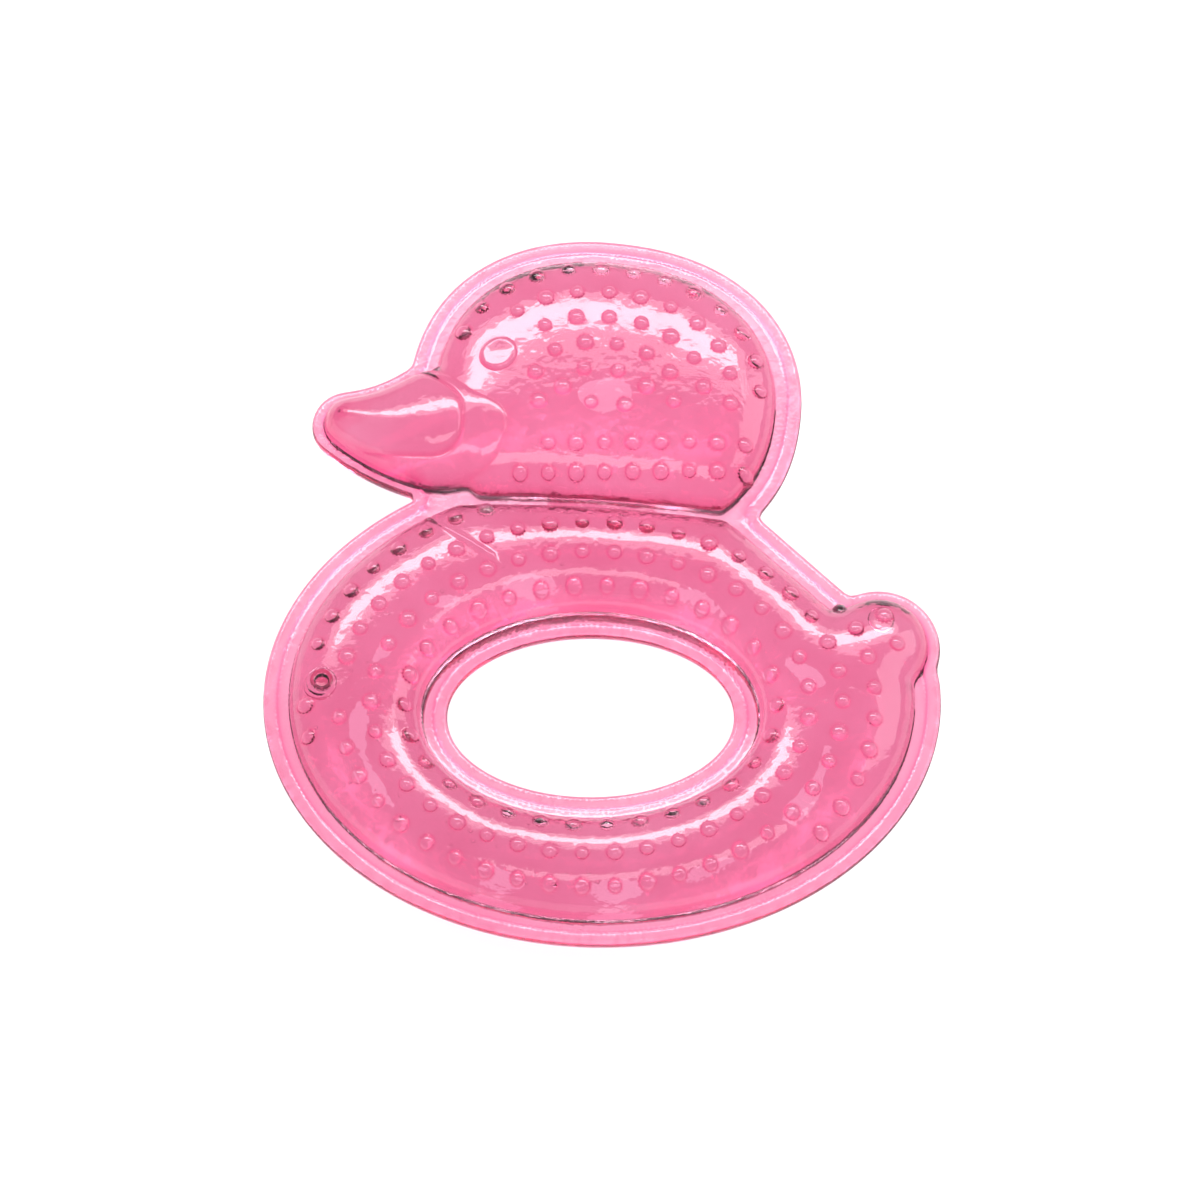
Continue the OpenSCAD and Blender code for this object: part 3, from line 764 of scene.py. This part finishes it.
front_half = half_shell(
    plug_rings(skin_plan()),
    lambda p: plug_seat(p, skin(p)),
    boss_wall_height,
    front_painted_shade_and_tint,
)
front = make_mesh("front_shell_moulding", *front_half, [skin_vinyl, wall_vinyl, weld_vinyl])
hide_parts("front_shell")

back_half = half_shell(
    on_toy(filled_in(plain_plan()), SKIN_LOOPS),
    lambda p: np.column_stack([p, plain_height(p)]),
    wall_height,
    plain_painted_shade_and_tint,
)
back = make_mesh("back_shell_moulding", *turned_over(*back_half), [skin_vinyl, wall_vinyl, weld_vinyl])
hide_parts("back_shell")

# ---------------------------------------------------------------------------
# The water: clear, very faintly pink, filled in through the hole of the plug.
# It takes up the whole space between the two halves, a hair clear of the walls.
# ---------------------------------------------------------------------------
WATER_GAP = 0.05


def water_body():
    """Water: the space inside one half, moved in by a hair, and the same space below the seam."""
    plan, feet = inside_plan(WALL + WATER_GAP)
    every, faces = sheet(plan, feet)

    def plain(p):
        return hollow_height(p, feet, WALL + WATER_GAP)

    def height(p):
        in_boss = np.hypot(*(p - PLUG_AT).T) < BOSS_R + WATER_GAP
        return np.where(in_boss, np.minimum(plain(p), SEAT - PLUG_L - BOSS_WALL - WATER_GAP), plain(p))

    faces = faces[height(every[faces].mean(1)) > 0]
    ears = np.array([True])
    while ears.any():
        edges = np.sort(np.vstack([faces[:, [0, 1]], faces[:, [1, 2]], faces[:, [2, 0]]]), 1)
        pairs, counts = np.unique(edges, axis=0, return_counts=True)
        border = np.zeros(len(every), bool)
        border[pairs[counts == 1].ravel()] = True
        ears = border[faces].all(1)
        faces = faces[~ears]
    z = height(every)
    used = np.unique(faces)
    number = np.full(len(every), -1)
    number[used] = np.arange(len(used))
    every, z, border, faces = every[used], z[used], border[used], number[faces]
    z[border] = 0
    below = np.where(border, np.arange(len(every)), np.cumsum(~border) - 1 + len(every))
    places = np.vstack([np.column_stack([every, z]), np.column_stack([every, -plain(every)])[~border]])
    down = slope(every, plain) * [1, 1, -1]
    corner_up = np.vstack([slope(every, height)[faces], down[faces[:, ::-1]]])
    faces = np.vstack([faces, below[faces[:, ::-1]]])
    return places, faces, np.zeros(len(faces), int), corner_up, np.zeros(len(places))


WATER_TINT = ((1, 0.93, 0.96), (1, 0.97, 0.985))
still_water = clear_vinyl("still_water", WATER_TINT, 1.0, 0.0, (1, 0.98, 0.99), (50, 0), None)
water = make_mesh("water_body", *water_body(), [still_water])
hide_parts("water")

# ---------------------------------------------------------------------------
# The fill plug: a short pin of the same vinyl with a wide, low head, pressed
# into its hole in the front half once the toy is full.
# ---------------------------------------------------------------------------
def turned_faces(rings, around):
    """Triangles of a turned shape, whose points are its rings and then its lower and upper pole."""
    k = np.arange(around)
    nxt = (k + 1) % around
    rows = np.arange(rings - 1)[:, None] * around
    above = rows + around
    sides = np.stack([rows + k, rows + nxt, above + nxt, rows + k, above + nxt, above + k], -1)
    low, last = rings * around, (rings - 1) * around
    floor = np.stack([k * 0 + low, nxt, k], 1)
    top = np.stack([k * 0 + low + 1, last + k, last + nxt], 1)
    return np.vstack([sides.reshape(-1, 3), floor, top])


PLUG_SIDES = 36


def plug_mesh():
    """Plug: a profile turned round its axis, pin first, then the head with its rounded edge."""
    profile = [(0, -PLUG_L), (PLUG_R - 0.15, -PLUG_L), (PLUG_R, -PLUG_L + 0.15), (PLUG_R, -0.02)]
    profile += [(PLUG_R + 0.02, 0.0), (PLUG_HEAD_R - 0.05, 0.0), (PLUG_HEAD_R, 0.05)]
    profile += [(PLUG_HEAD_R, 0.4), (PLUG_HEAD_R - 0.06, 0.52)]
    profile += [(PLUG_HEAD_R - 0.2, 0.6), (PLUG_HEAD_R - 0.45, 0.6), (1.0, 0.45), (0.5, 0.42), (0, 0.42)]
    r, z = np.array(profile).T
    turn = np.linspace(0, 2 * np.pi, PLUG_SIDES, endpoint=False)
    out, up = r[1:-1, None], z[1:-1, None]
    rings = np.stack(np.broadcast_arrays(out * np.cos(turn), out * np.sin(turn), up), -1)
    ends = np.array([[0, 0, z[0]], [0, 0, z[-1]]])
    places = np.vstack([rings.reshape(-1, 3), ends]) + [*PLUG_AT, SEAT]
    faces = turned_faces(len(r) - 2, PLUG_SIDES)
    corners = places[faces]
    flat = np.cross(corners[:, 1] - corners[:, 0], corners[:, 2] - corners[:, 0])
    flat /= np.linalg.norm(flat, axis=1)[:, None]
    # Painted shade: a dark ring round the edge of the plug's head, mixed in through the same attribute.
    painted_shade_and_tint = np.clip(1 - np.abs(np.hypot(*(places - [*PLUG_AT, 0])[:, :2].T) - PLUG_HEAD_R) / 0.35, 0, 1)
    return places, faces, np.zeros(len(faces), int), np.repeat(flat[:, None], 3, 1), 0.6 * painted_shade_and_tint


plug_vinyl = clear_vinyl("plug_vinyl", SKIN_TINT, 1.5, 0.05, (0.99, 0.93, 0.96), (200, 0), None)
plug = make_mesh("fill_plug_turned", *plug_mesh(), [plug_vinyl])
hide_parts("fill_plug")

# ---------------------------------------------------------------------------
# Air left in the water: one large bubble under the tail and a scatter of
# small ones. They rise against the inside of the front half and stay there,
# which is why they all sit just under its wall.
# ---------------------------------------------------------------------------
TAIL_BUBBLE = (41.3, -6.3)
BUBBLES = 60
BUBBLE_RINGS = 7
BUBBLE_SIDES = 14
BUBBLE_FLAT = 0.8


def bubble_places():
    """The large bubble first, then small ones on a spiral round the hand hole, in even golden
    steps; rows are place on the plan and radius."""
    k = np.arange(BUBBLES)
    turn = 2.6 + 2.2 * ((k * 0.618) % 1)
    turn = np.where(k % 4 == 0, 2 * np.pi * ((k * 0.382) % 1), turn)
    out = 0.18 + 0.72 * ((k * 0.7549) % 1)
    inner = HOLE_RADII + RIM + WALL
    ray = np.stack([np.cos(turn), np.sin(turn)], 1)
    near = far_side(HOLE_AT, inner, HOLE_AT, turn)
    far = body_reach(turn, RIM + WALL + 0.8, WELD)
    at = HOLE_AT + ray * (near + (far - near) * out)[:, None]
    size = 0.14 + 0.2 * ((k * 0.569) % 1) ** 2
    return np.vstack([[*TAIL_BUBBLE, 1.9], np.column_stack([at, size])])


def bubble_mesh():
    """Bubbles: balls of rings between two poles, a little flattened against the wall."""
    found = bubble_places()
    at, size = found[:, :2], found[:, 2]
    up = wall_height(at) - 0.1 - BUBBLE_FLAT * size
    at, size, up = at[up > 1], size[up > 1], up[up > 1]
    lift = np.linspace(-np.pi / 2, np.pi / 2, BUBBLE_RINGS + 2)[1:-1]
    lift, turn = np.meshgrid(lift, np.arange(BUBBLE_SIDES) * 2 * np.pi / BUBBLE_SIDES, indexing="ij")
    ball = [np.cos(lift) * np.cos(turn), np.cos(lift) * np.sin(turn), BUBBLE_FLAT * np.sin(lift)]
    ball = np.stack(ball, -1).reshape(-1, 3)
    ball = np.vstack([ball, [[0, 0, -BUBBLE_FLAT], [0, 0, BUBBLE_FLAT]]])
    faces = turned_faces(BUBBLE_RINGS, BUBBLE_SIDES)
    places = np.column_stack([at, up])[:, None] + size[:, None, None] * ball
    faces = (faces + np.arange(len(at))[:, None, None] * len(ball)).reshape(-1, 3)
    corner_up = np.tile(ball / [1, 1, BUBBLE_FLAT**2], (len(at), 1))
    corner_up /= np.linalg.norm(corner_up, axis=1)[:, None]
    painted_shade_and_tint = np.zeros(len(at) * len(ball))
    return places.reshape(-1, 3), faces, np.zeros(len(faces), int), corner_up[faces], painted_shade_and_tint


bubble_air = clear_vinyl("bubble_air", ((1, 0.96, 0.98), (1, 1, 1)), 1.33, 0.0, (1, 1, 1), (300, 0), None)
make_mesh("air_bubbles", *bubble_mesh(), [bubble_air])

# ---------------------------------------------------------------------------
# The studio: a pale table, soft light from all round, three softboxes that lie
# as pale bands on the cushions, one for the right-hand flanks, and the camera.
# ---------------------------------------------------------------------------
paper = bpy.data.materials.new("paper")
paper.use_nodes = True
paper.node_tree.nodes.clear()
sheet_of = Shade(paper.node_tree)
white = sheet_of.node("ShaderNodeBsdfPrincipled", None, {"Base Color": (0.9, 0.9, 0.9, 1), "Roughness": 0.7})
sheet_of.node("ShaderNodeOutputMaterial", None, {"Surface": white})
mesh = bpy.data.meshes.new("table")
mesh.from_pydata([(-3, -3, 0), (3, -3, 0), (3, 3, 0), (-3, 3, 0)], [], [(0, 1, 2, 3)])
mesh.materials.append(paper)
floor = bpy.data.objects.new("table", mesh)
bpy.context.scene.collection.objects.link(floor)

scene = bpy.context.scene
world = bpy.data.worlds.new("studio")
world.use_nodes = True
world.node_tree.nodes["Background"].inputs["Color"].default_value = (1, 1, 1, 1)
world.node_tree.nodes["Background"].inputs["Strength"].default_value = 0.33
scene.world = world


def softbox(name, toward, away, size, radiance):
    """Softbox: an area lamp that faces the toy from the given direction."""
    light = bpy.data.lights.new(name, "AREA")
    light.shape = "RECTANGLE"
    light.size, light.size_y = size
    light.energy = radiance * np.pi * size[0] * size[1]
    lamp = bpy.data.objects.new(name, light)
    direction = Vector(toward).normalized()
    lamp.location = direction * away
    lamp.rotation_mode = "QUATERNION"
    lamp.rotation_quaternion = direction.to_track_quat("Z", "Y")
    scene.collection.objects.link(lamp)
    return lamp


softbox("softbox_back", (0, 0.58, 0.815), 0.8, (0.9, 0.15), 11.0)
softbox("softbox_round_it", (0, 0.58, 0.815), 0.82, (1.2, 0.36), 3.0)
softbox("softbox_above", (0.1, -0.25, 0.96), 0.8, (0.5, 0.16), 3.5)
softbox("softbox_right", (0.8, 0.2, 0.55), 0.8, (0.5, 0.5), 2.5)

FOCAL = 300
FILM = 36
FRAME_ACROSS = 178.8
lens = bpy.data.cameras.new("camera")
lens.lens, lens.sensor_width = FOCAL, FILM
camera = bpy.data.objects.new("camera", lens)
rise = np.radians(70)
aim = Vector((-0.3 * MM, -1.334 * MM, SEAM - 0.49 * MM))
back_to = Vector((0, -np.cos(rise), np.sin(rise)))
camera.location = aim + back_to * (FRAME_ACROSS * MM * FOCAL / FILM)
camera.rotation_mode = "QUATERNION"
camera.rotation_quaternion = back_to.to_track_quat("Z", "Y")
lens.clip_start, lens.clip_end = 0.05, 20
scene.collection.objects.link(camera)
scene.camera = camera

scene.view_settings.view_transform = "Standard"
scene.cycles.max_bounces = 24
scene.cycles.transmission_bounces = 20
scene.cycles.transparent_max_bounces = 32
scene.cycles.glossy_bounces = 6
scene.cycles.diffuse_bounces = 2
scene.cycles.caustics_refractive = False
scene.cycles.caustics_reflective = False
